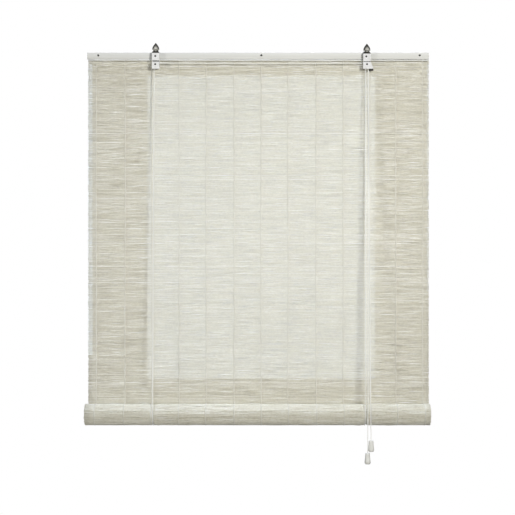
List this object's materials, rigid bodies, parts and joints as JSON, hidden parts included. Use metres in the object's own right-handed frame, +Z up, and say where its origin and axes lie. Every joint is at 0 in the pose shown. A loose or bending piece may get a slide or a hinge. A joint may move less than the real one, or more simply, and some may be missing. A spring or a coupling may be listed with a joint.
{
  "type": "roll-up matchstick blind",
  "caption": "Roll-up window blind of woven wooden matchsticks on a clamped head rail, raised by two lift cords through pulleys and a cord lock.",
  "frame": {"origin": "middle of the head rail's rear face, where it lies against the wall", "axes": "+Y into the wall, +Z up, +X to the right as seen from the room; the blind hangs towards -Z and its front faces -Y"},
  "size_m": [0.905, 0.0725, 1.1014],
  "materials": {
    "painted_wood": "satin off-white paint",
    "bare_wood": "matt, limewashed",
    "woven_slats": "matt, limewashed matchsticks woven with cotton thread",
    "cord": "braided, off-white",
    "nickel": "nickel plate",
    "dark_steel": "burnished",
    "nylon": "moulded",
    "knob_plastic": "satin"
  },
  "bodies": {
    "head": {"head_rear_batten": "bare_wood", "head_front_board": "painted_wood", "woven_panel": "woven_slats", "clamp_screw_left": "dark_steel", "clamp_screw_centre": "dark_steel", "clamp_screw_right": "dark_steel", "left_back_plate": "nickel", "left_cap": "nickel", "left_bracket_screw": "dark_steel", "left_pulley_housing": "nickel", "left_finial_base": "dark_steel", "left_finial": "nickel", "left_axle": "dark_steel", "left_axle_spacer": "nylon", "right_back_plate": "nickel", "right_cap": "nickel", "right_bracket_screw": "dark_steel", "right_pulley_housing": "nickel", "right_finial_base": "dark_steel", "right_finial": "nickel", "right_axle": "dark_steel", "lock_anvil_pin": "dark_steel", "lock_cam_pin": "dark_steel", "left_rear_strand": "cord", "right_rear_strand": "cord", "left_anchor_knot": "cord", "right_anchor_knot": "cord", "left_front_strand": "cord", "right_front_strand": "cord", "cross_cord": "cord", "lock_cord": "cord", "pull_cord_a_upper": "cord", "pull_cord_b_upper": "cord"},
    "carriage": {"left_sling": "cord", "right_sling": "cord", "pull_cord_a_lower": "cord", "pull_cord_b_lower": "cord"},
    "roll": {"fabric_roll": "woven_slats", "bottom_bar": "bare_wood"},
    "left_pulley": {"left_pulley": "nylon"},
    "right_rear_pulley": {"right_rear_pulley": "nylon"},
    "right_front_pulley": {"right_front_pulley": "nylon"},
    "lock_cam": {"lock_cam": "dark_steel"},
    "pull_a": {"pull_knob_a": "knob_plastic", "pull_knot_a": "cord"},
    "pull_b": {"pull_knob_b": "knob_plastic", "pull_knot_b": "cord"}
  },
  "joints": [
    {"name": "roll_lift", "type": "slide", "parent": "head", "child": "carriage", "axis": [0, 0, 1], "range_m": [0, 0.86], "deforming": ["woven_panel", "left_rear_strand", "right_rear_strand", "left_front_strand", "right_front_strand", "pull_cord_a_upper", "pull_cord_b_upper"]},
    {"name": "roll_spin", "type": "hinge", "parent": "carriage", "child": "roll", "pos_m": [0, -0.0347, -0.943], "axis": [1, 0, 0], "range_deg": [-1801, 0]},
    {"name": "left_pulley_spin", "type": "hinge", "parent": "head", "child": "left_pulley", "pos_m": [-0.27, -0.02, -0.0239], "axis": [0, 1, 0], "range_deg": [0, 29000]},
    {"name": "right_rear_pulley_spin", "type": "hinge", "parent": "head", "child": "right_rear_pulley", "pos_m": [0.2864, -0.02, -0.0239], "axis": [0, 1, 0], "range_deg": [0, 29000]},
    {"name": "right_front_pulley_spin", "type": "hinge", "parent": "head", "child": "right_front_pulley", "pos_m": [0.2864, -0.0244, -0.0239], "axis": [0, 1, 0], "range_deg": [0, 29000]},
    {"name": "lock_cam_swing", "type": "hinge", "parent": "head", "child": "lock_cam", "pos_m": [0.2974, -0.0224, -0.0284], "axis": [0, -1, 0], "range_deg": [0, 22]},
    {"name": "pull_a_slide", "type": "slide", "parent": "carriage", "child": "pull_a", "axis": [0, 0, 1], "range_m": [-2.58, 0], "deforming": ["pull_cord_a_lower"]},
    {"name": "pull_b_slide", "type": "slide", "parent": "carriage", "child": "pull_b", "axis": [0, 0, 1], "range_m": [-2.58, 0], "deforming": ["pull_cord_b_lower"]}
  ],
  "couplings": [
    {"joint": "roll_spin", "follows": "roll_lift", "rad_per_m": -36.53},
    {"joint": "left_pulley_spin", "follows": "roll_lift", "rad_per_m": 588.24},
    {"joint": "right_rear_pulley_spin", "follows": "roll_lift", "rad_per_m": 588.24},
    {"joint": "right_front_pulley_spin", "follows": "roll_lift", "rad_per_m": 588.24},
    {"joint": "pull_a_slide", "follows": "roll_lift", "ratio": -3},
    {"joint": "pull_b_slide", "follows": "roll_lift", "ratio": -3}
  ]
}
